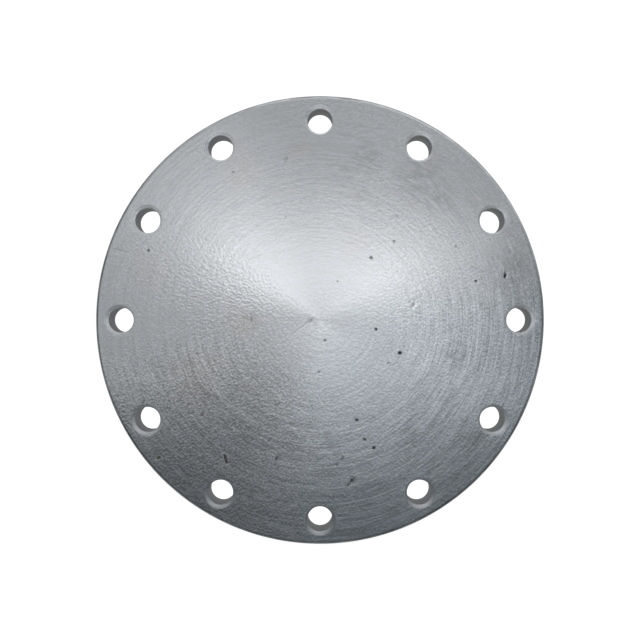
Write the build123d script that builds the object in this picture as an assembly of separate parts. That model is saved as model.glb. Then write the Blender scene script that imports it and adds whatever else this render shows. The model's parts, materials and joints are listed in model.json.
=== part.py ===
from build123d import *
import math
import os

# Blind flange: one solid turned steel plate that closes the end of a pipe or valve with twelve bolts.
# Millimetres. +Z is up, the plate lies flat, and the origin is the centre of its underside.

# Driving dimensions
OUTSIDE_DIAMETER = 395.0
THICKNESS = 26.0
BOLT_CIRCLE_DIAMETER = 350.0
BOLT_HOLE_DIAMETER = 22.0
BOLT_HOLE_COUNT = 12
FIRST_HOLE_ANGLE = 90.0  # one hole lies on +Y

# Edges left by the lathe and by the deburring tool
RIM_ROUNDING = 2.0  # both outer corners of the rim
LEAD_IN_DIAMETER = 26.8  # the shallow dish round each hole in the front face, at the face
LEAD_IN_OFFSET = 1.3  # each dish is cut this much nearer the rim than its hole
LEAD_IN_DEPTH = 0.3
BACK_DEBURR = 0.5  # the small chamfer on each hole in the back face

OVERSHOOT = 1.0  # how far cutting tools run past a face


def turned_blank():
    """The disc as it comes off the lathe, with both rim corners rounded."""
    radius = OUTSIDE_DIAMETER / 2
    standing_on_origin = (Align.CENTER, Align.CENTER, Align.MIN)
    disc = Cylinder(radius, THICKNESS, align=standing_on_origin)
    corners = disc.edges().filter_by(GeomType.CIRCLE)
    return fillet(corners, RIM_ROUNDING)


def drill():
    """What the drill removes at one bolt hole: the bore and the deburring behind it."""
    radius = BOLT_HOLE_DIAMETER / 2
    half_section = Polyline(
        (0, -OVERSHOOT),
        (radius + BACK_DEBURR + OVERSHOOT, -OVERSHOOT),
        (radius, BACK_DEBURR),
        (radius, THICKNESS + OVERSHOOT),
        (0, THICKNESS + OVERSHOOT),
        close=True,
    )
    section = Plane.XZ * make_face(half_section)
    return revolve(section, Axis.Z, 360)


def lead_in():
    """What the countersink removes at one bolt hole: a very flat cone that reaches the hole's far wall."""
    rim_radius = LEAD_IN_DIAMETER / 2
    floor_radius = BOLT_HOLE_DIAMETER / 2 - LEAD_IN_OFFSET
    slope = (rim_radius - floor_radius) / LEAD_IN_DEPTH
    half_section = Polyline(
        (0, THICKNESS - LEAD_IN_DEPTH),
        (floor_radius, THICKNESS - LEAD_IN_DEPTH),
        (rim_radius + slope * OVERSHOOT, THICKNESS + OVERSHOOT),
        (0, THICKNESS + OVERSHOOT),
        close=True,
    )
    section = Plane.XZ * make_face(half_section)
    return revolve(section, Axis.Z, 360)


def spaced_round(radius):
    """Places evenly spaced on a circle of that radius, one for each bolt hole."""
    step = 360 / BOLT_HOLE_COUNT
    angles = [math.radians(FIRST_HOLE_ANGLE + step * i) for i in range(BOLT_HOLE_COUNT)]
    return [Pos(radius * math.cos(a), radius * math.sin(a), 0) for a in angles]


def flange_plate():
    """The whole flange, which is a single machined piece."""
    bolt_circle = BOLT_CIRCLE_DIAMETER / 2
    bores = [place * drill() for place in spaced_round(bolt_circle)]
    dishes = [place * lead_in() for place in spaced_round(bolt_circle + LEAD_IN_OFFSET)]
    return turned_blank() - bores - dishes


PARTS = {"flange_plate": flange_plate}

os.makedirs("parts", exist_ok=True)
for node, make in PARTS.items():
    export_step(make(), f"parts/{node}.step")
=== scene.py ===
"""The looks of the blind flange: a turned steel plate with twelve drilled bolt holes.

Metres, +Z up. The plate lies on its back face and the camera looks straight down on its front face.
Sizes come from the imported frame; sizes of surface detail are named in millimetres.
"""

import json
import math

import bpy
import numpy as np
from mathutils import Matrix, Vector
from mathutils.geometry import delaunay_2d_cdt


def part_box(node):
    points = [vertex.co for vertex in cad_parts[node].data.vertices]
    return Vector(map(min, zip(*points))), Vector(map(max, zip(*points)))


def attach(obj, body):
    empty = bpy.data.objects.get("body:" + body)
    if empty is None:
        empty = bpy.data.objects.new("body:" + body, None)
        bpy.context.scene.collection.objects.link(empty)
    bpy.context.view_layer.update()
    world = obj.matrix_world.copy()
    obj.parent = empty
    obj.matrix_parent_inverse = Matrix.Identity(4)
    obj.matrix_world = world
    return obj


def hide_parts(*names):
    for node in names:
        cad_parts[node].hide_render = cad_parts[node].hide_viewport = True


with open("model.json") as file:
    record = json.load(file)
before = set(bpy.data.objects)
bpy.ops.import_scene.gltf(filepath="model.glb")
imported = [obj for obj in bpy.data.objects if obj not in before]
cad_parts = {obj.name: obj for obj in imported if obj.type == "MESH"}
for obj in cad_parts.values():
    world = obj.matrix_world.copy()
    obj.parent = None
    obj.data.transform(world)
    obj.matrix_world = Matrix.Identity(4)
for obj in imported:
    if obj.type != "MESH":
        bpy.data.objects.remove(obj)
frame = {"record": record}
bpy.context.view_layer.update()

MM = 0.001

# ---------------------------------------------------------------- sizes read from the frame
PLATE_LOW, PLATE_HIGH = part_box("flange_plate")
RADIUS = min(-PLATE_LOW[0], PLATE_HIGH[0], -PLATE_LOW[1], PLATE_HIGH[1])
THICKNESS = PLATE_HIGH[2] - PLATE_LOW[2]
BOLT_CIRCLE = next(m for m in frame["record"]["mounts"] if m["name"] == "bolt_circle")["dims"]
BOLT_CIRCLE_RADIUS = BOLT_CIRCLE["pcd_mm"] / 2 * MM
HOLE_COUNT = BOLT_CIRCLE["count"]
HOLE_RADIUS = BOLT_CIRCLE["hole_r_mm"] * MM
FIRST_HOLE_ANGLE = math.radians(90)  # one hole lies on +Y

# ---------------------------------------------------------------- edges, as the machining left them
RIM_ROUNDING = 2.0 * MM
LEAD_IN_RADIUS = 13.4 * MM
LEAD_IN_OFFSET = 1.3 * MM  # each dish lies this much nearer the rim than its hole
LEAD_IN_DEPTH = 0.3 * MM  # where the dish is deepest
BACK_DEBURR = 0.5 * MM

# ---------------------------------------------------------------- how finely the mesh is cut
RIM_SEGMENTS = 384
HOLE_SEGMENTS = 60
CENTRE_SEGMENTS = 12  # points of the innermost rings; wider rings have this doubled again and again
FRONT_RING_STEP = 0.8 * MM
BACK_RING_STEP = 4.0 * MM
LONGEST_ARC = 3.4 * MM
RING_CLEARANCE = 0.6  # how far a face's inner points stay off its loops, as a share of the ring step
MARK_CLEARANCE = 1.8  # how far the rings' points stay off a mark's middle line, in half widths
MARK_RINGS = (0.4, 0.8, 1.2, 1.6)  # the rings of points round a round mark, in half widths
MARK_RING_SEGMENTS = 12
MARK_ROWS = (-1.4, -0.7, 0.0, 0.7, 1.4)  # the rows of points along a long mark, in half widths
MARK_STOP_STEP = 1.2 * MM
CORNER_STEPS = 5
RIM_WALL_RINGS = 7
LEAD_IN_STEPS = 5
BORE_WALL_RINGS = 12
SHARP_ANGLE = math.radians(30)

# ---------------------------------------------------------------- real relief
WAVE_DEPTH = 0.008 * MM
WAVE_PITCH = 4.3 * MM
WAVE_WANDERS = [(0.9, 31 * MM, 0.0), (0.5, 13 * MM, 1.0)]  # how much, over what length, and where it starts
WAVE_WANDER_TURN = 3.0
BORE_TOOL_MARK = 0.02 * MM
BORE_TOOL_MARK_TURN = 2.4  # how far the tool mark's wave moves on from ring to ring, in radians

# ---------------------------------------------------------------- dirt and blots
MARK_SLOPE = 1.5  # how steeply a mark deepens from its edge
DIRT_REACH = 1.5  # how far dirt reaches from a mark's middle line, in half widths
DIRT_FILL = 1.8  # above 1, so that the dirt is full well before the middle line
BLOT_SOFTNESS = 0.7
FRONT_BAND = 1 * MM  # points this near the front face carry its dirt and blots

# Faces carry one of these finishes, in this order of material slots.
FRONT, RIM, BACK, BORE, LEAD_IN = range(5)
PLATE_AXIS = (0.0, 0.0, 0.0)  # a point on the axis that the faces and the rim were turned round

# Marks in the front face, each a short stroke: start x, start y, end x, end y, half width, depth, dirt.
# All in millimetres from the centre, except dirt, which is 0 for clean and 1 for black.
MARKS = [
    (-151, 61, -151, 61.5, 1, 0.20, 0.68), (-30, 142, -29.5, 142.5, 1.6, 0.02, 0.5),
    (-77, 130, -76, 130.5, 1.1, 0.02, 0.4), (44.5, 55.5, 45.5, 54.5, 1.1, 0.20, 0.59),
    (65, 69, 65.5, 69.5, 1, 0.20, 0.38), (67, 91, 68, 92.5, 1, 0.10, 0.26),
    (162.5, 38, 163, 40, 1.1, 0.15, 0.9), (137, 34, 137.5, 34, 1.1, 0.30, 0.68),
    (49, -8, 49.5, -8.5, 1.1, 0.25, 0.68), (15.5, 34, 15.5, 34, 0.94, 0.10, 0.3),
    (-39, -123, -37.5, -120, 1.2, 0.08, 0.78), (-143, -121.5, -141, -120.5, 1.7, 0.08, 0.8),
    (4, -18, 4.5, -18, 1, 0.20, 0.42), (70, -29, 70.5, -29, 1.4, 0.15, 0.85),
    (32, -88, 32.5, -88, 1.3, 0.30, 0.77), (39, -105, 39.5, -105.5, 1.2, 0.30, 0.77),
    (47, -112.5, 47.5, -112.5, 1.4, 0.30, 0.85), (28, -142, 28, -140, 1.4, 0.35, 0.85),
    (24.5, -146, 25.5, -145, 1, 0.25, 0.68), (19, -124, 20, -121.5, 0.77, 0.20, 0.59),
    (14.5, -128, 16, -127, 0.85, 0.20, 0.59), (148, -102, 148.5, -101.5, 1, 0.25, 0.59),
    (-1.5, -46.5, -0.5, -46, 0.94, 0.15, 0.42), (60, -38, 60.5, -38, 0.85, 0.15, 0.34),
    (-84, -119, -82, -125.5, 1.5, 0.08, 0.92), (-39, -75, -36, -73.5, 1.2, 0.08, 0.6),
    (119.5, 65, 120, 65, 0.94, 0.10, 0.34), (-60.5, -1, -60, 2, 1.4, 0.05, 0.38),
    (-9, -1, -7, 0, 1.5, 0.03, 0.34), (-43, 155, -42, 155, 1.2, 0.05, 0.26),
    (82, 12, 83, 14, 1, 0.10, 0.3), (-156, -73, -155, -71, 1.2, 0.08, 0.6),
    (-105, -83.5, -103, -83, 1.4, 0.06, 0.7), (99, -134, 100, -132, 1.6, 0.10, 0.42),
    (-182, 63, -169, 59.5, 0.45, 0.05, 0.25), (-65, 52.5, -50, 58, 0.45, 0.02, 0.16),
    (-30.5, 90.5, -30.5, 91, 0.9, 0.02, 0.3), (-55.5, 83, -55, 83.5, 0.9, 0.02, 0.25),
    (-27, -14.5, -10, -2, 0.45, 0.015, 0.22), (133, 48, 144, 43, 0.45, 0.05, 0.17),
]
MARK_HALF_WIDTH, MARK_DEPTH, MARK_DIRT = 4, 5, 6  # where a mark keeps these

# Soft-edged blots on the front face: x, y, radius in millimetres, and strength.
BROWN_STAINS = [
    (-79, 149, 16, 0.5), (93, 141, 14, 0.5), (-70, 0, 18, 0.8), (-112, -52, 26, 0.8),
    (-68, 132, 20, 0.5), (-90, -35, 14, 0.6), (30, 70, 16, 0.3), (-150, 45, 22, 0.4), (-17, 149, 14, 0.5),
]
GREY_SMUDGES = [
    (88, 125, 26, 1.0), (103, 109, 19, 0.9), (41, 143, 17, 0.8), (20, 133, 18, 0.5), (36, 114, 10, 0.5),
    (170, 46, 30, 1.3), (176, 20, 20, 0.8), (169, 79, 14, 0.6), (121, -30, 15, 1.0), (84, -105, 15, 0.9),
    (126, -104, 19, 0.9), (-61, 0, 10, 0.7),
]


# ================================================================ the plate's mesh
def spaced_round(radius):
    """Places evenly spaced on a circle of that radius, one for each bolt hole."""
    step = 2 * math.pi / HOLE_COUNT
    angles = [FIRST_HOLE_ANGLE + step * i for i in range(HOLE_COUNT)]
    return [(radius * math.cos(a), radius * math.sin(a)) for a in angles]


def circle(centre, radius, count):
    """Points of a circle, anticlockwise seen from above, as an array of x, y rows."""
    turn = np.arange(count) * 2 * math.pi / count
    return np.column_stack([centre[0] + radius * np.cos(turn), centre[1] + radius * np.sin(turn)])


def arc_count(radius):
    """How many points a ring of that radius gets: doubled until no arc is too long."""
    count = CENTRE_SEGMENTS
    while 2 * math.pi * radius / count > LONGEST_ARC and count < RIM_SEGMENTS:
        count *= 2
    return count


def clear_of(points, centre, radius):
    """Which points lie outside a circle."""
    return np.hypot(points[:, 0] - centre[0], points[:, 1] - centre[1]) > radius


class Skin:
    """The points and faces of the plate, gathered region by region."""

    def __init__(self):
        self.points = []
        self.faces = []
        self.finishes = []
        self.axes = []
        self.count = 0

    def add_points(self, rows):
        """Adds x, y, z rows and returns their numbers."""
        self.points.append(np.asarray(rows, dtype=float))
        first = self.count
        self.count += len(rows)
        return np.arange(first, self.count)

    def add_faces(self, faces, finish, axis):
        """Adds faces of one finish, turned or drilled round one axis."""
        self.faces.extend(faces)
        self.finishes.extend([finish] * len(faces))
        self.axes.extend([axis] * len(faces))

    def ring(self, centre, radius, height, count):
        """Adds one level ring of points and returns their numbers."""
        flat = circle(centre, radius, count)
        return self.add_points(np.column_stack([flat, np.full(count, height)]))

    def stitch(self, upper, lower, finish, axis, inward=False):
        """Joins two rings of the same count with quads that face away from their axis, or towards it."""
        columns = [upper, lower, np.roll(lower, -1), np.roll(upper, -1)]
        if inward:
            columns = [columns[i] for i in (0, 3, 2, 1)]
        self.add_faces(np.column_stack(columns).tolist(), finish, axis)


def stroke_share(x, y, mark, spread=1.0):
    """From 0 beyond a mark's edge to 1 along its middle line, with the mark made wider by the spread."""
    start = np.array(mark[0:2]) * MM
    run = np.array(mark[2:4]) * MM - start
    along = (x - start[0]) * run[0] + (y - start[1]) * run[1]
    along = np.clip(along / max(run @ run, 1e-12), 0, 1)
    away = np.hypot(x - start[0] - along * run[0], y - start[1] - along * run[1])
    return (1 - np.minimum(away / (mark[MARK_HALF_WIDTH] * spread * MM), 1) ** 2) ** MARK_SLOPE


def front_relief(x, y):
    """How far the front face lies below its nominal height, from shallow turning waves and marks."""
    radius = np.hypot(x, y)
    wander = sum(share * np.sin(radius / length + start) for share, length, start in WAVE_WANDERS)
    wave = 0.5 - 0.5 * np.cos(2 * math.pi * radius / WAVE_PITCH + WAVE_WANDER_TURN * wander)
    depth = WAVE_DEPTH * wave
    for mark in MARKS:
        depth = depth + mark[MARK_DEPTH] * MM * stroke_share(x, y, mark)
    return depth


def front_dirt(x, y):
    """How much dark dirt lies at a place on the front face, from 0 to 1: it fills the marks."""
    dirt = np.zeros(len(x))
    for mark in MARKS:
        fill = np.minimum(1.0, DIRT_FILL * stroke_share(x, y, mark, DIRT_REACH))
        dirt = np.maximum(dirt, mark[MARK_DIRT] * fill)
    return dirt


def blot_share(x, y, blots):
    """How strongly soft-edged blots cover a place on the front face, from 0 to 1."""
    share = np.zeros(len(x))
    for blot_x, blot_y, radius, strength in blots:
        away = np.hypot(x - blot_x * MM, y - blot_y * MM) / (radius * MM)
        share = np.maximum(share, strength * np.maximum(0.0, 1 - away) ** BLOT_SOFTNESS)
    return share


def mark_points(mark):
    """Points in and round a mark, closer together than those of the rings."""
    x1, y1, x2, y2, half_width = (value * MM for value in mark[:5])
    length = math.hypot(x2 - x1, y2 - y1)
    if length <= half_width:
        middle = ((x1 + x2) / 2, (y1 + y2) / 2)
        rings = [circle(middle, half_width * share, MARK_RING_SEGMENTS) for share in MARK_RINGS]
        return np.vstack(rings + [[middle]])
    stops = max(2, round(length / MARK_STOP_STEP) + 1)
    side = (-(y2 - y1) / length, (x2 - x1) / length)
    points = []
    for i in range(stops):
        share = i / (stops - 1)
        x, y = x1 + (x2 - x1) * share, y1 + (y2 - y1) * share
        for offset in MARK_ROWS:
            points.append((x + side[0] * offset * half_width, y + side[1] * offset * half_width))
    return np.array(points)


def flat_face(outer_loop, hole_loops, holes, ring_step, marks):
    """Triangulates a round face with holes, given as centre and radius.

    Returns its inner points and its triangles. The triangles count the outer loop's points first, then
    each hole's, then the inner points.
    """
    outer_radius = np.hypot(outer_loop[0][0], outer_loop[0][1])
    rings = [np.zeros((1, 2))]
    for radius in np.arange(ring_step, outer_radius - ring_step * RING_CLEARANCE, ring_step):
        rings.append(circle((0, 0), radius, arc_count(radius)))
    inner = np.vstack(rings)
    for centre, radius in holes:
        inner = inner[clear_of(inner, centre, radius + ring_step * RING_CLEARANCE)]
    for mark in marks:
        inner = inner[stroke_share(inner[:, 0], inner[:, 1], mark, MARK_CLEARANCE) == 0]
        inner = np.vstack([inner, mark_points(mark)])
    loops = [outer_loop] + hole_loops
    corners = np.vstack(loops + [inner])
    edges = []
    first = 0
    for loop in loops:
        numbers = np.arange(first, first + len(loop))
        edges.extend(zip(numbers.tolist(), np.roll(numbers, -1).tolist()))
        first += len(loop)
    inside_only = 1  # the triangulation drops what lies outside the outer loop
    same_point = 1e-9
    nearly_all = 0.9999  # of a hole's radius, so that no triangle is lost at its loop
    made = delaunay_2d_cdt([Vector(p) for p in corners.tolist()], edges, [], inside_only, same_point)
    if len(made[0]) != len(corners):
        raise ValueError("two points of a face lie on each other")
    triangles = np.array(made[2])
    middles = corners[triangles].mean(axis=1)
    kept = np.ones(len(triangles), bool)
    for centre, radius in holes:
        kept &= clear_of(middles, centre, radius * nearly_all)
    return inner, triangles[kept]


def add_round_face(skin, finish, holes, ring_step, marks):
    """The front or back face. Returns the point numbers of its outer loop and, row by row, of its holes."""
    outer_loop = circle((0, 0), RADIUS - RIM_ROUNDING, RIM_SEGMENTS)
    hole_loops = [circle(centre, radius, HOLE_SEGMENTS) for centre, radius in holes]
    inner, triangles = flat_face(outer_loop, hole_loops, holes, ring_step, marks)
    flat = np.vstack([outer_loop] + hole_loops + [inner])
    if finish == FRONT:
        heights = THICKNESS - front_relief(flat[:, 0], flat[:, 1])
    else:
        heights = np.zeros(len(flat))
        triangles = triangles[:, ::-1]
    numbers = skin.add_points(np.column_stack([flat, heights]))
    skin.add_faces(numbers[triangles].tolist(), finish, PLATE_AXIS)
    hole_numbers = numbers[RIM_SEGMENTS:RIM_SEGMENTS + HOLE_COUNT * HOLE_SEGMENTS]
    return numbers[:RIM_SEGMENTS], hole_numbers.reshape(HOLE_COUNT, HOLE_SEGMENTS)


def build_skin():
    """The whole plate as one closed skin."""
    skin = Skin()
    centres = spaced_round(BOLT_CIRCLE_RADIUS)
    dishes = [(centre, LEAD_IN_RADIUS) for centre in spaced_round(BOLT_CIRCLE_RADIUS + LEAD_IN_OFFSET)]
    mouths = [(centre, HOLE_RADIUS + BACK_DEBURR) for centre in centres]
    front_rim_loop, front_hole_loops = add_round_face(skin, FRONT, dishes, FRONT_RING_STEP, MARKS)
    back_rim_loop, back_hole_loops = add_round_face(skin, BACK, mouths, BACK_RING_STEP, [])
    add_rim(skin, front_rim_loop, back_rim_loop)
    for centre, (dish, _), front_loop, back_loop in zip(centres, dishes, front_hole_loops, back_hole_loops):
        add_bolt_hole(skin, centre, dish, front_loop, back_loop)
    return skin


def rim_profile():
    """The rim's rings from front to back, without the faces' own loops, as radius and height."""
    turns = [math.pi / 2 * i / CORNER_STEPS for i in range(1, CORNER_STEPS + 1)]
    profile = []
    for turn in turns:
        inset, drop = RIM_ROUNDING * (1 - math.sin(turn)), RIM_ROUNDING * (1 - math.cos(turn))
        profile.append((RADIUS - inset, THICKNESS - drop))
    wall_top, wall_foot = THICKNESS - RIM_ROUNDING, RIM_ROUNDING
    for i in range(1, RIM_WALL_RINGS + 1):
        profile.append((RADIUS, wall_top + (wall_foot - wall_top) * i / RIM_WALL_RINGS))
    for turn in turns[:-1]:
        inset, rise = RIM_ROUNDING * (1 - math.cos(turn)), RIM_ROUNDING * (1 - math.sin(turn))
        profile.append((RADIUS - inset, rise))
    return profile


def add_rim(skin, front_loop, back_loop):
    """The outer wall with both rounded corners."""
    upper = front_loop
    for radius, height in rim_profile():
        lower = skin.ring((0, 0), radius, height, RIM_SEGMENTS)
        skin.stitch(upper, lower, RIM, PLATE_AXIS)
        upper = lower
    skin.stitch(upper, back_loop, RIM, PLATE_AXIS)


def add_bolt_hole(skin, centre, dish, front_loop, back_loop):
    """One bolt hole: its flat dish, set outboard, its wall with faint drill rings, and its back edge."""
    axis = (centre[0], centre[1], 0.0)
    upper = front_loop
    slope = LEAD_IN_DEPTH / (LEAD_IN_RADIUS - HOLE_RADIUS + LEAD_IN_OFFSET)
    outside = circle(dish, LEAD_IN_RADIUS, HOLE_SEGMENTS)
    inside = circle(centre, HOLE_RADIUS, HOLE_SEGMENTS)
    for i in range(1, LEAD_IN_STEPS + 1):
        flat = outside + (inside - outside) * i / LEAD_IN_STEPS
        from_dish = np.hypot(flat[:, 0] - dish[0], flat[:, 1] - dish[1])
        heights = THICKNESS - slope * (LEAD_IN_RADIUS - from_dish)
        lower = skin.add_points(np.column_stack([flat, heights]))
        skin.stitch(upper, lower, LEAD_IN, axis, inward=True)
        upper = lower
    wall_top, wall_foot = THICKNESS - LEAD_IN_DEPTH, BACK_DEBURR
    for i in range(1, BORE_WALL_RINGS + 1):
        height = wall_top + (wall_foot - wall_top) * i / BORE_WALL_RINGS
        tool_mark = BORE_TOOL_MARK * math.sin(BORE_TOOL_MARK_TURN * i) if i < BORE_WALL_RINGS else 0.0
        lower = skin.ring(centre, HOLE_RADIUS + tool_mark, height, HOLE_SEGMENTS)
        skin.stitch(upper, lower, BORE, axis, inward=True)
        upper = lower
    skin.stitch(upper, back_loop, BORE, axis, inward=True)


def plate_object(skin, materials):
    """Makes the mesh object, with each face's turning axis kept for the materials."""
    mesh = bpy.data.meshes.new("turned_plate")
    mesh.from_pydata(np.vstack(skin.points).tolist(), [], skin.faces)
    mesh.polygons.foreach_set("material_index", skin.finishes)
    axes = mesh.attributes.new("turning_axis", "FLOAT_VECTOR", "FACE")
    axes.data.foreach_set("vector", np.array(skin.axes).ravel())
    corners = np.vstack(skin.points)
    on_front = corners[:, 2] > THICKNESS - FRONT_BAND
    x, y = corners[:, 0], corners[:, 1]
    covers = {
        "dirt": front_dirt(x, y),
        "stain": blot_share(x, y, BROWN_STAINS),
        "smudge": blot_share(x, y, GREY_SMUDGES),
    }
    for name, share in covers.items():
        mesh.attributes.new(name, "FLOAT", "POINT").data.foreach_set("value", share * on_front)
    for material in materials:
        mesh.materials.append(material)
    mesh.shade_smooth()
    mesh.set_sharp_from_angle(angle=SHARP_ANGLE)
    mesh.update()
    plate = bpy.data.objects.new("turned_plate", mesh)
    bpy.context.scene.collection.objects.link(plate)
    return plate


# ================================================================ materials
class Nodes:
    """Short ways to add and join the shader nodes of one material or world."""

    def __init__(self, owner):
        owner.use_nodes = True
        self.owner = owner
        self.tree = owner.node_tree
        self.tree.nodes.clear()

    def add(self, kind, inputs=None, **settings):
        """Adds a node, sets its settings, and feeds its inputs with numbers or other nodes' outputs."""
        node = self.tree.nodes.new(kind)
        for key, value in settings.items():
            setattr(node, key, value)
        for key, value in (inputs or {}).items():
            self.feed(node.inputs[key], value)
        return node

    def feed(self, socket, value):
        """Links an output to a socket, or sets a plain value on it."""
        if isinstance(value, bpy.types.NodeSocket):
            self.tree.links.new(value, socket)
        else:
            socket.default_value = value

    def math(self, operation, first, second=0.0, third=0.0):
        """A Math node's output."""
        node = self.add("ShaderNodeMath", {0: first, 1: second, 2: third}, operation=operation)
        return node.outputs[0]

    def vector(self, operation, first, second=(0, 0, 0)):
        """A Vector Math node's output."""
        node = self.add("ShaderNodeVectorMath", {0: first, 1: second}, operation=operation)
        return node.outputs["Value" if operation in ("LENGTH", "DOT_PRODUCT") else "Vector"]

    def noise(self, place, scale, detail=2.0, roughness=0.5):
        """Smooth noise from 0 to 1, mostly near 0.5."""
        inputs = {"Vector": place, "Scale": scale, "Detail": detail, "Roughness": roughness}
        return self.add("ShaderNodeTexNoise", inputs).outputs["Fac"]

    def spread(self, value, low, high, to_low=0.0, to_high=1.0):
        """Maps low..high to another range, smoothly and clamped."""
        inputs = {"Value": value, "From Min": low, "From Max": high, "To Min": to_low, "To Max": to_high}
        node = self.add("ShaderNodeMapRange", inputs, interpolation_type="SMOOTHSTEP")
        return node.outputs["Result"]

    def between(self, share, at_none, at_full):
        """One value where the share is 0 and another where it is 1."""
        return self.spread(share, 0.0, 1.0, at_none, at_full)

    def cover(self, name):
        """How much of something the mesh says lies here, from 0 to 1."""
        return self.add("ShaderNodeAttribute", attribute_name=name).outputs["Fac"]

    def total(self, *parts):
        """The sum of values, each times its own weight."""
        sum_so_far = 0.0
        for value, weight in parts:
            sum_so_far = self.math("MULTIPLY_ADD", value, weight, sum_so_far)
        return sum_so_far

    def scaled_colour(self, colour, shade):
        """A colour made lighter or darker by a value near 1."""
        if not isinstance(colour, bpy.types.NodeSocket):
            colour = colour[:3]
        scaled = self.add("ShaderNodeVectorMath", {0: colour, "Scale": shade}, operation="SCALE")
        return scaled.outputs["Vector"]

    def mix(self, share, first, second):
        """A colour between two colours."""
        node = self.add("ShaderNodeMix", data_type="RGBA")
        colour_inputs = [socket for socket in node.inputs if socket.type == "RGBA"]
        self.feed(node.inputs["Factor"], share)
        self.feed(colour_inputs[0], first)
        self.feed(colour_inputs[1], second)
        return next(socket for socket in node.outputs if socket.type == "RGBA")


def from_axis(nodes):
    """The place relative to the axis that the surface was turned or drilled round, in millimetres."""
    place = nodes.add("ShaderNodeTexCoord").outputs["Object"]
    axis = nodes.add("ShaderNodeAttribute", attribute_name="turning_axis").outputs["Vector"]
    away = nodes.vector("SUBTRACT", place, axis)
    scaled = nodes.add("ShaderNodeVectorMath", {0: away, "Scale": 1 / MM}, operation="SCALE")
    return scaled.outputs["Vector"]


def across_grooves(nodes, away):
    """The direction on the surface that crosses the tool's grooves."""
    lay = nodes.vector("CROSS_PRODUCT", (0, 0, 1), away)
    normal = nodes.add("ShaderNodeNewGeometry").outputs["Normal"]
    return nodes.vector("NORMALIZE", nodes.vector("CROSS_PRODUCT", lay, normal))


def groove_place(nodes, away, length, width):
    """Noise coordinates stretched along the grooves: one unit is length mm along and width mm across."""
    parts = nodes.add("ShaderNodeSeparateXYZ", {"Vector": away})
    flat = nodes.add("ShaderNodeCombineXYZ", {"X": parts.outputs["X"], "Y": parts.outputs["Y"]})
    radius = nodes.vector("LENGTH", flat.outputs["Vector"])
    across = nodes.math("ADD", radius, parts.outputs["Z"])
    inputs = {
        "X": nodes.math("DIVIDE", parts.outputs["X"], length),
        "Y": nodes.math("DIVIDE", parts.outputs["Y"], length),
        "Z": nodes.math("DIVIDE", across, width),
    }
    return nodes.add("ShaderNodeCombineXYZ", inputs).outputs["Vector"]


def bump(nodes, height, strength):
    """A normal from a height in millimetres."""
    inputs = {"Height": height, "Strength": strength, "Distance": MM}
    return nodes.add("ShaderNodeBump", inputs).outputs["Normal"]


def steel_shader(nodes, colour, roughness, anisotropy, away, normal):
    """The steel itself: bare metal whose highlight is drawn out across the grooves."""
    inputs = {
        "Base Color": colour,
        "Metallic": 1.0,
        "Roughness": roughness,
        "Anisotropic": anisotropy,
        "Normal": normal,
        "Tangent": across_grooves(nodes, away),
    }
    shader = nodes.add("ShaderNodeBsdfPrincipled", inputs)
    nodes.add("ShaderNodeOutputMaterial", {"Surface": shader.outputs["BSDF"]})
    return nodes.owner


STEEL = (0.722, 0.737, 0.760, 1)
COOL_STEEL = (0.695, 0.737, 0.786, 1)
STAINED_STEEL = (0.73, 0.69, 0.67, 1)
DULL_STEEL = (0.44, 0.452, 0.465, 1)
BORE_STEEL = (0.42, 0.43, 0.44, 1)
DIRT = (0.10, 0.095, 0.09, 1)

# Sides of the front face that differ a little: the direction of each, and where it starts and is complete,
# in mm from the centre.
SMOOTH_SIDE = ((0.26, 0.97, 0), 35.0, 100.0)
# Towards -Y the flakes' painted relief shading, the arcs and the smears are strongest, and the steel is
# cooler.
MINUS_Y_SIDE = ((0.2, -0.98, 0), -35.0, 45.0)
PEBBLED_SIDE = ((-1.0, 0.1, 0), -60.0, 100.0)

# The plate's rolled grain with painted relief shading: the flakes' size and how far the painted dark edge
# lies from the pale one, in mm, and how strong both edges are; the pale edge also carries a painted
# highlight.
FLAKE_LENGTH = 1.55
FLAKE_WIDTH = 0.85
PAINTED_SHADE_OFFSET = 1.6
PALE_FLAKE_AND_PAINTED_HIGHLIGHT = 2.6
PAINTED_SHADE_EDGE = -0.7

# Grain that follows the turning: length and width in mm, and contrast.
ARC_SIZE = (60.0, 1.3)
ARC_CONTRAST = 2.6
SMEAR_SIZE = (16.0, 5.0)
SMEAR_CONTRAST = 1.0

# The front face. A pair is a value away from a side and on it. Four values are two distances from the
# centre in mm, and the values at them.
PEBBLE_SCALE = 0.45  # per mm, as for every scale of noise here
PEBBLE_HEIGHT = (0.041, 0.053)  # mm
PEBBLES_ON_SMOOTH_SIDE = (1.0, 0.7)
PEBBLES_OUTWARD = (20.0, 80.0, 0.5, 1.0)
# How strongly the flake grain and its painted relief shading show on the front face.
FLAKES_AND_PAINTED_SHADE_ON_MINUS_Y_SIDE = (0.38, 0.91)
FLAKES_AND_PAINTED_SHADE_ELSEWHERE = (0.26, 0.14)
FLAKES_AND_PAINTED_SHADE_OUTWARD = (30.0, 120.0, 0.45, 1.0)
ARCS_ON_MINUS_Y_SIDE = (0.09, 0.46)
ARCS_ON_PEBBLED_SIDE = (1.0, 0.85)
ARCS_OUTWARD = (40.0, 120.0, 0.25, 1.0)
SMEARS_ON_MINUS_Y_SIDE = (0.08, 0.5)
SMEARS_OUTWARD = (40.0, 110.0, 0.0, 1.0)
SMUDGE_SIZE = (9.0, 4.0)
SMUDGE_PATCHES = (0.3, 0.65)  # noise below the first has none, and above the second has all
SMUDGE_SHADE = -0.22
STAIN_SCALE = 0.25
STAIN_PATCHES = (0.35, 0.6)
DIRT_SCALE = 0.8
DIRT_RAGGEDNESS = 0.8
DIRT_RANGE = (0.05, 1.0)
DIRT_ROUGHNESS = 0.4  # added where dirt lies
FRONT_ROUGHNESS = 0.205
FRONT_ANISOTROPY = 0.75

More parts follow.
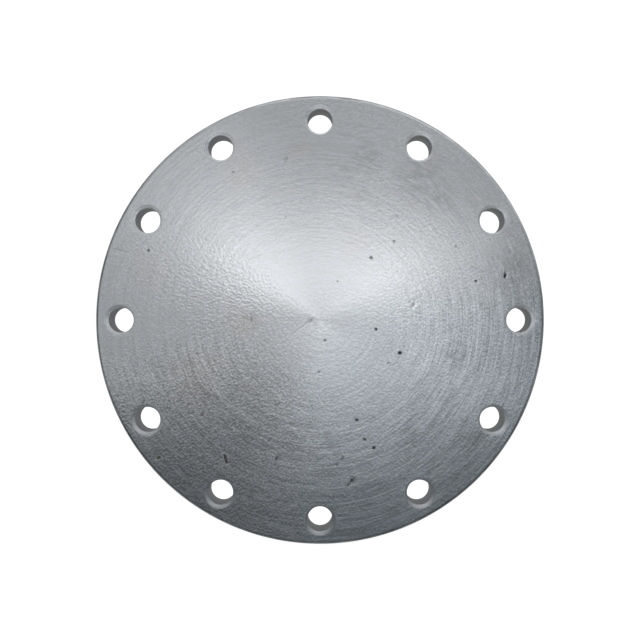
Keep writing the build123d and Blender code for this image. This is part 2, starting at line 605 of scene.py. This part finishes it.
# The other faces: sizes of their grain in mm as above, heights in mm, and how much each grain shades.
RIM_THREAD_SIZE = (60.0, 0.9)
RIM_THREAD_HEIGHT = 0.10
RIM_THREAD_SHADE = 0.9
RIM_STREAK_SIZE = (12.0, 1.6)
RIM_STREAK_HEIGHT = 0.08
RIM_STREAK_SHADE = 1.2
RIM_PATCH_SCALE = 0.035
RIM_PATCH_SHADE = 1.3
RIM_BASE_SHADE = -0.7
RIM_ROUGHNESS = (0.28, 0.42)
RIM_ANISOTROPY = 0.5
BACK_STREAK_SIZE = (10.0, 1.4)
BACK_STREAK_HEIGHT = 0.08
# How much the flake grain and its painted relief shading show on the back face.
BACK_FLAKES_AND_PAINTED_SHADE = 0.4
BACK_ARC_SHADE = 0.5
BACK_BASE_SHADE = 0.9
BACK_ROUGHNESS = 0.26
BACK_ANISOTROPY = 0.6
BORE_RING_SIZE = (14.0, 1.1)
BORE_RING_HEIGHT = 0.12
BORE_RING_SHADE = 2.6
BORE_BASE_SHADE = -0.3
BORE_ROUGHNESS = 0.42
BORE_ANISOTROPY = 0.4
DISH_RING_SIZE = (9.0, 0.9)
DISH_RING_HEIGHT = 0.015
# How much the flake grain, with its painted relief shading, and the arcs show in the dish.
DISH_GRAIN_AND_PAINTED_SHADE = 0.3
DISH_ROUGHNESS = 0.32
DISH_ANISOTROPY = 0.4


def side_share(nodes, away, side):
    """From 0 to 1 across the plate, towards one of its sides."""
    direction, start, end = side
    return nodes.spread(nodes.vector("DOT_PRODUCT", away, direction), start, end)


def flake_grain_with_painted_shade(nodes, away):
    """The plate's rolled grain: short flakes drawn out along X, with painted relief shading, a pale edge
    and a weaker dark edge shifted towards +Y. Near 0.
    """
    parts = nodes.add("ShaderNodeSeparateXYZ", {"Vector": away})
    edges = []
    for edge_shift in (0.0, PAINTED_SHADE_OFFSET):
        inputs = {
            "X": nodes.math("DIVIDE", parts.outputs["X"], FLAKE_LENGTH),
            "Y": nodes.math("DIVIDE", nodes.math("SUBTRACT", parts.outputs["Y"], edge_shift), FLAKE_WIDTH),
            "Z": nodes.math("DIVIDE", parts.outputs["Z"], FLAKE_WIDTH),
        }
        place = nodes.add("ShaderNodeCombineXYZ", inputs).outputs["Vector"]
        edges.append(nodes.noise(place, 1.0, 2.0, 0.6))
    # Painted relief shading: the pale copy of the flakes less a weaker dark copy shifted towards +Y.
    middle = (PALE_FLAKE_AND_PAINTED_HIGHLIGHT + PAINTED_SHADE_EDGE) / 2
    return nodes.total((edges[0], PALE_FLAKE_AND_PAINTED_HIGHLIGHT), (edges[1], PAINTED_SHADE_EDGE), (1.0, -middle))


def arc_grain(nodes, away):
    """The long fine arcs that turning leaves. Near 0."""
    arcs = nodes.noise(groove_place(nodes, away, *ARC_SIZE), 1.0, 2.0, 0.7)
    return nodes.total((arcs, ARC_CONTRAST), (1.0, -ARC_CONTRAST / 2))


def smear_grain(nodes, away):
    """Broad smears along the arcs, left by an oily cloth. Near 0."""
    smears = nodes.noise(groove_place(nodes, away, *SMEAR_SIZE), 1.0, 2.0, 0.5)
    return nodes.total((smears, SMEAR_CONTRAST), (1.0, -SMEAR_CONTRAST / 2))


def pebble_relief(nodes, away, smooth_side, pebbled_side, from_centre):
    """The pebbled skin's height in mm, and how strongly it shows."""
    pebbles = nodes.noise(away, PEBBLE_SCALE, 1.0, 0.5)
    height = nodes.math("MULTIPLY", pebbles, nodes.between(pebbled_side, *PEBBLE_HEIGHT))
    strength = nodes.math("MULTIPLY", nodes.between(smooth_side, *PEBBLES_ON_SMOOTH_SIDE),
                          nodes.spread(from_centre, *PEBBLES_OUTWARD))
    return height, strength


def front_shade(nodes, away, minus_y_side, pebbled_side, from_centre):
    """How light or dark the front face's grain is from place to place, near 1, with painted relief shading
    in its flakes.
    """
    # The flakes' painted relief shading: strongest towards -Y, most on the -X side there, and weaker near
    # the centre.
    flakes_and_painted_shade = nodes.math("MULTIPLY_ADD", nodes.between(pebbled_side, *FLAKES_AND_PAINTED_SHADE_ON_MINUS_Y_SIDE), minus_y_side,
                        nodes.spread(pebbled_side, 0.4, 1.0, *FLAKES_AND_PAINTED_SHADE_ELSEWHERE))
    flakes_and_painted_shade = nodes.math("MULTIPLY", flakes_and_painted_shade, nodes.spread(from_centre, *FLAKES_AND_PAINTED_SHADE_OUTWARD))
    arcs = nodes.math("MULTIPLY", nodes.between(minus_y_side, *ARCS_ON_MINUS_Y_SIDE),
                      nodes.spread(from_centre, *ARCS_OUTWARD))
    arcs = nodes.math("MULTIPLY", arcs, nodes.between(pebbled_side, *ARCS_ON_PEBBLED_SIDE))
    smears = nodes.math("MULTIPLY", nodes.between(minus_y_side, *SMEARS_ON_MINUS_Y_SIDE),
                        nodes.spread(from_centre, *SMEARS_OUTWARD))
    shade = nodes.math("MULTIPLY_ADD", flake_grain_with_painted_shade(nodes, away), flakes_and_painted_shade, 1.0)
    shade = nodes.math("MULTIPLY_ADD", arc_grain(nodes, away), arcs, shade)
    shade = nodes.math("MULTIPLY_ADD", smear_grain(nodes, away), smears, shade)
    blots = nodes.noise(groove_place(nodes, away, *SMUDGE_SIZE), 1.0, 3.0, 0.6)
    smudge = nodes.math("MULTIPLY", nodes.cover("smudge"), nodes.spread(blots, *SMUDGE_PATCHES))
    return nodes.math("MULTIPLY_ADD", smudge, SMUDGE_SHADE, shade)


def front_metal(nodes, away, minus_y_side, pebbled_side):
    """The front face's metal: cooler towards -Y, and browner where it is stained."""
    cool_share = nodes.math("MULTIPLY", minus_y_side, nodes.spread(pebbled_side, 0.0, 0.8, 1.0, 0.0))
    patches = nodes.spread(nodes.noise(away, STAIN_SCALE, 2.0, 0.6), *STAIN_PATCHES)
    stain = nodes.math("MULTIPLY", nodes.cover("stain"), patches)
    return nodes.mix(stain, nodes.mix(cool_share, STEEL, COOL_STEEL), STAINED_STEEL)


def ragged_dirt(nodes, away):
    """The dirt in the marks, with an uneven edge."""
    dirt = nodes.cover("dirt")
    unevenness = nodes.noise(away, DIRT_SCALE, 2.0, 0.6)
    ragged = nodes.math("MULTIPLY_ADD", unevenness, DIRT_RAGGEDNESS, -DIRT_RAGGEDNESS / 2)
    return nodes.spread(nodes.math("MULTIPLY_ADD", ragged, dirt, dirt), *DIRT_RANGE)


def turned_front():
    """The front face: the plate's pebbled skin under fine concentric grooves, flake grain with painted
    relief shading, and dirt in the marks.
    """
    nodes = Nodes(bpy.data.materials.new("turned_front"))
    away = from_axis(nodes)
    smooth_side = side_share(nodes, away, SMOOTH_SIDE)
    minus_y_side = side_share(nodes, away, MINUS_Y_SIDE)
    pebbled_side = side_share(nodes, away, PEBBLED_SIDE)
    from_centre = nodes.vector("LENGTH", nodes.vector("MULTIPLY", away, (1, 1, 0)))
    height, strength = pebble_relief(nodes, away, smooth_side, pebbled_side, from_centre)
    shade = front_shade(nodes, away, minus_y_side, pebbled_side, from_centre)
    colour = nodes.scaled_colour(front_metal(nodes, away, minus_y_side, pebbled_side), shade)
    dirt = ragged_dirt(nodes, away)
    colour = nodes.mix(dirt, colour, DIRT)
    roughness = nodes.math("MULTIPLY_ADD", dirt, DIRT_ROUGHNESS, FRONT_ROUGHNESS)
    return steel_shader(nodes, colour, roughness, FRONT_ANISOTROPY, away, bump(nodes, height, strength))


def turned_rim():
    """The rim: coarser turning marks round the wall, with dull and brighter patches."""
    nodes = Nodes(bpy.data.materials.new("turned_rim"))
    away = from_axis(nodes)
    threads = nodes.noise(groove_place(nodes, away, *RIM_THREAD_SIZE), 1.0, 2.0, 0.6)
    streaks = nodes.noise(groove_place(nodes, away, *RIM_STREAK_SIZE), 1.0, 3.0, 0.6)
    patches = nodes.noise(away, RIM_PATCH_SCALE, 3.0, 0.6)
    height = nodes.total((threads, RIM_THREAD_HEIGHT), (streaks, RIM_STREAK_HEIGHT))
    shade = nodes.total(
        (threads, RIM_THREAD_SHADE), (streaks, RIM_STREAK_SHADE),
        (patches, RIM_PATCH_SHADE), (1.0, RIM_BASE_SHADE),
    )
    colour = nodes.scaled_colour(DULL_STEEL, shade)
    roughness = nodes.spread(patches, 0.3, 0.7, *RIM_ROUGHNESS)
    return steel_shader(nodes, colour, roughness, RIM_ANISOTROPY, away, bump(nodes, height, 1.0))


def turned_back():
    """The back face: turned like the front, a little rougher and duller, with the same painted relief
    shading in its flakes.
    """
    nodes = Nodes(bpy.data.materials.new("turned_back"))
    away = from_axis(nodes)
    streaks = nodes.noise(groove_place(nodes, away, *BACK_STREAK_SIZE), 1.0, 3.0, 0.6)
    # Flake grain with painted relief shading.
    flakes_and_painted_shade = (flake_grain_with_painted_shade(nodes, away), BACK_FLAKES_AND_PAINTED_SHADE)
    arcs = (arc_grain(nodes, away), BACK_ARC_SHADE)
    colour = nodes.scaled_colour(STEEL, nodes.total(flakes_and_painted_shade, arcs, (1.0, BACK_BASE_SHADE)))
    height = nodes.math("MULTIPLY", streaks, BACK_STREAK_HEIGHT)
    return steel_shader(nodes, colour, BACK_ROUGHNESS, BACK_ANISOTROPY, away, bump(nodes, height, 1.0))


def drilled_bore():
    """The wall of a bolt hole, with the drill's rings, some of them dark with old oil."""
    nodes = Nodes(bpy.data.materials.new("drilled_bore"))
    away = from_axis(nodes)
    rings = nodes.noise(groove_place(nodes, away, *BORE_RING_SIZE), 1.0, 3.0, 0.65)
    shade = nodes.math("MULTIPLY_ADD", rings, BORE_RING_SHADE, BORE_BASE_SHADE)
    colour = nodes.scaled_colour(BORE_STEEL, shade)
    height = nodes.math("MULTIPLY", rings, BORE_RING_HEIGHT)
    return steel_shader(nodes, colour, BORE_ROUGHNESS, BORE_ANISOTROPY, away, bump(nodes, height, 1.0))


def cut_lead_in():
    """The shallow dish round a bolt hole, cut by the countersink, with painted relief shading in its flake
    grain.
    """
    nodes = Nodes(bpy.data.materials.new("cut_lead_in"))
    away = from_axis(nodes)
    rings = nodes.noise(groove_place(nodes, away, *DISH_RING_SIZE), 1.0, 3.0, 0.6)
    # Flake grain with painted relief shading, and arcs, both at the same weight.
    flakes_and_painted_shade = (flake_grain_with_painted_shade(nodes, away), DISH_GRAIN_AND_PAINTED_SHADE)
    arcs = (arc_grain(nodes, away), DISH_GRAIN_AND_PAINTED_SHADE)
    colour = nodes.scaled_colour(STEEL, nodes.total(flakes_and_painted_shade, arcs, (1.0, 1.0)))
    height = nodes.math("MULTIPLY", rings, DISH_RING_HEIGHT)
    return steel_shader(nodes, colour, DISH_ROUGHNESS, DISH_ANISOTROPY, away, bump(nodes, height, 1.0))


# ================================================================ the studio
FACE_HEIGHT = PLATE_HIGH[2]
CAMERA_ABOVE_FACE = 0.81
FRAME_WIDTH = 0.5633  # how much the picture spans at the height of the front face
SENSOR = 36.0  # mm
LIGHTS_ABOVE_FACE = 2.0
WATTS_PER_RADIANCE = 4  # and per square metre of an area light

# The softboxes: name, centre x and y and size in metres, turn in degrees, radiance.
LIGHTS = [
    ("key_left", (-0.175, 0.162), (0.28, 0.155), -12, 1.75),
    ("key_right", (0.105, 0.146), (0.32, 0.175), -10, 1.88),
    ("top_fill", (-0.27, 0.41), (0.30, 0.34), 0, 0.25),
    ("left_box", (-0.76, 0.21), (1.0, 1.0), 0, 0.27),
    ("centre_fill", (0.25, -0.05), (0.71, 0.56), 10, 0.42),
]

# The room round the plate. A height in it is the Z of a direction: 0 is level and 1 is straight up.
CEILING = (0.050, 0.059, 0.066)
BRIGHT_LEVEL = 1.53
BRIGHT_TURN = math.radians(14.3)  # from +Y towards +X
BRIGHT_START = 0.41  # how far a direction leans to the bright side where the light is half as strong
BRIGHT_RAMP = 10.0
BRIGHT_HEIGHTS = (0.25, 0.65)
BRIGHT_SHARES = (0.3, 1.0)
HORIZON_HEIGHTS = (0.30, 0.46)
HORIZON_LEVEL = 0.55

# The studio's discs and wall.
DISC_SEGMENTS = 96
FLOOR_RADIUS = 40.0
FLOOR_HEIGHT = -1.0 * MM
CARD_INSET = 10 * MM
CARD_HEIGHT = -0.5 * MM
BENCH_HEIGHT = -1.5 * MM
WHITE_GLOW = 1.1
FLOOR_ALBEDO, FLOOR_GLOW = 0.22, 0.96
BENCH_ALBEDO, BENCH_GLOW = 0.10, 0.30
BACKDROP_RADIUS = 18.0
BACKDROP_HEIGHT = 8.0


def make_camera():
    """Straight above the plate's centre, with +Y up in the picture."""
    data = bpy.data.cameras.new("camera")
    data.sensor_width = SENSOR
    data.lens = SENSOR * CAMERA_ABOVE_FACE / FRAME_WIDTH
    camera = bpy.data.objects.new("camera", data)
    camera.location = (0, 0, FACE_HEIGHT + CAMERA_ABOVE_FACE)
    bpy.context.scene.collection.objects.link(camera)
    bpy.context.scene.camera = camera


def soft_light(name, centre, size, turn, radiance):
    """A rectangular softbox that hangs level above the plate and shines down."""
    data = bpy.data.lights.new(name, "AREA")
    data.shape = "RECTANGLE"
    data.size = size[0]
    data.size_y = size[1]
    data.energy = radiance * size[0] * size[1] * WATTS_PER_RADIANCE
    light = bpy.data.objects.new(name, data)
    light.location = (centre[0], centre[1], FACE_HEIGHT + LIGHTS_ABOVE_FACE)
    light.rotation_euler = (0, 0, math.radians(turn))
    bpy.context.scene.collection.objects.link(light)


def make_world():
    """A pale room: bright on the +Y side, dark overhead towards -Y, and pale all round the horizon."""
    world = bpy.data.worlds.new("studio")
    bpy.context.scene.world = world
    nodes = Nodes(world)
    direction = nodes.add("ShaderNodeTexCoord").outputs["Generated"]
    facing = (math.sin(BRIGHT_TURN), math.cos(BRIGHT_TURN), 0)
    lean = nodes.vector("DOT_PRODUCT", direction, facing)
    rise = nodes.math("MULTIPLY", nodes.math("SUBTRACT", lean, BRIGHT_START), -BRIGHT_RAMP)
    rise = nodes.math("EXPONENT", rise)
    bright_side = nodes.math("DIVIDE", BRIGHT_LEVEL, nodes.math("ADD", rise, 1.0))
    height = nodes.add("ShaderNodeSeparateXYZ", {"Vector": direction}).outputs["Z"]
    bright_side = nodes.math("MULTIPLY", bright_side, nodes.spread(height, *BRIGHT_HEIGHTS, *BRIGHT_SHARES))
    horizon = nodes.spread(height, *HORIZON_HEIGHTS, HORIZON_LEVEL, 0.0)
    pale = nodes.math("MAXIMUM", bright_side, horizon)
    light = nodes.vector("ADD", nodes.scaled_colour((1, 1, 1), pale), CEILING)
    background = nodes.add("ShaderNodeBackground", {"Color": light})
    nodes.add("ShaderNodeOutputWorld", {"Surface": background.outputs["Background"]})


def stage_disc(name, radius, height, material):
    """A level disc that belongs to the studio."""
    mesh = bpy.data.meshes.new(name)
    flat = circle((0, 0), radius, DISC_SEGMENTS)
    corners = np.column_stack([flat, np.full(DISC_SEGMENTS, height)])
    mesh.from_pydata(corners.tolist(), [], [list(range(DISC_SEGMENTS))])
    mesh.materials.append(material)
    disc = bpy.data.objects.new(name, mesh)
    bpy.context.scene.collection.objects.link(disc)
    return disc


def pale_material(name, albedo, glow):
    """A matt, colourless surface with a soft glow of its own."""
    nodes = Nodes(bpy.data.materials.new(name))
    inputs = {
        "Base Color": (albedo, albedo, albedo, 1),
        "Roughness": 1.0,
        "Specular IOR Level": 0.0,
        "Emission Color": (1, 1, 1, 1),
        "Emission Strength": glow,
    }
    shader = nodes.add("ShaderNodeBsdfPrincipled", inputs)
    nodes.add("ShaderNodeOutputMaterial", {"Surface": shader.outputs["BSDF"]})
    return nodes.owner


def make_backdrop():
    """A white wall all round, for the camera only, so that low views end in white and not in the studio."""
    mesh = bpy.data.meshes.new("backdrop")
    flat = circle((0, 0), BACKDROP_RADIUS, DISC_SEGMENTS)
    foot = np.column_stack([flat, np.full(DISC_SEGMENTS, FLOOR_HEIGHT)])
    top = np.column_stack([flat, np.full(DISC_SEGMENTS, BACKDROP_HEIGHT)])
    numbers = np.arange(DISC_SEGMENTS)
    after = np.roll(numbers, -1)
    quads = np.column_stack([numbers, numbers + DISC_SEGMENTS, after + DISC_SEGMENTS, after])
    mesh.from_pydata(np.vstack([foot, top]).tolist(), [], quads.tolist())
    mesh.materials.append(pale_material("white_wall", 0.0, WHITE_GLOW))
    wall = bpy.data.objects.new("backdrop", mesh)
    bpy.context.scene.collection.objects.link(wall)
    only_for_camera(wall)


def only_for_camera(thing):
    """Keeps a stage object out of reflections, bounced light and shadows."""
    thing.visible_diffuse = False
    thing.visible_glossy = False
    thing.visible_shadow = False


def make_floor():
    """The pale floor and a white card under the holes, and the bench, which only the steel sees."""
    floor_material = pale_material("pale_floor", FLOOR_ALBEDO, FLOOR_GLOW)
    card_material = pale_material("white_card", 0.0, WHITE_GLOW)
    bench_material = pale_material("grey_bench", BENCH_ALBEDO, BENCH_GLOW)
    floor = stage_disc("floor", FLOOR_RADIUS, FLOOR_HEIGHT, floor_material)
    card = stage_disc("white_card", RADIUS - CARD_INSET, CARD_HEIGHT, card_material)
    bench = stage_disc("grey_bench", FLOOR_RADIUS, BENCH_HEIGHT, bench_material)
    only_for_camera(floor)
    only_for_camera(card)
    bench.visible_camera = False


# ================================================================ put together
plate = plate_object(
    build_skin(),
    [turned_front(), turned_rim(), turned_back(), drilled_bore(), cut_lead_in()],
)
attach(plate, "root")
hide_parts("flange_plate")

make_camera()
make_world()
for light in LIGHTS:
    soft_light(*light)
make_floor()
make_backdrop()
bpy.context.scene.view_settings.view_transform = "Standard"

bpy.context.view_layer.update()
